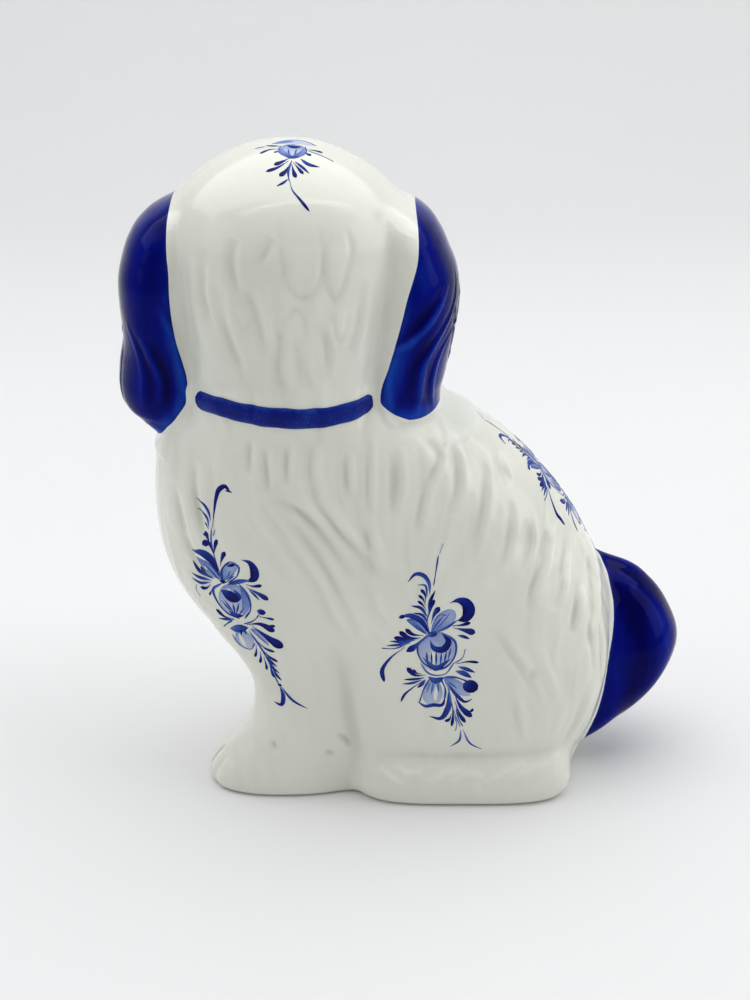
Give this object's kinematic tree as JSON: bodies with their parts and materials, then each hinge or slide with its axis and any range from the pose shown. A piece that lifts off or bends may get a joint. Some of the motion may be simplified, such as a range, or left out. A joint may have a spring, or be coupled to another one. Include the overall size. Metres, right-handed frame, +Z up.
{
  "type": "dog figurine",
  "caption": "Hollow glazed ceramic spaniel figurine, seated with its head turned, with blue painted ears, collar, tail and flower sprays.",
  "frame": {"origin": "middle of the resting face, on the floor under the figurine", "axes": "+Z up; the chest faces -X and the tail is at +X; the face looks to +Y, the display side, and the back of the head is at -Y"},
  "size_m": [0.2618, 0.1265, 0.3],
  "materials": {
    "white_glaze": "gloss",
    "cobalt_glaze": "gloss"
  },
  "bodies": {
    "root": {"body_shell": "white_glaze", "head_shell": "white_glaze", "left_ear": "cobalt_glaze", "right_ear": "cobalt_glaze", "tail": "cobalt_glaze", "left_foreleg": "white_glaze", "right_foreleg": "white_glaze", "left_hind_foot": "white_glaze", "right_hind_foot": "white_glaze", "collar": "cobalt_glaze", "locket": "cobalt_glaze", "base_plate": "white_glaze"}
  },
  "joints": []
}
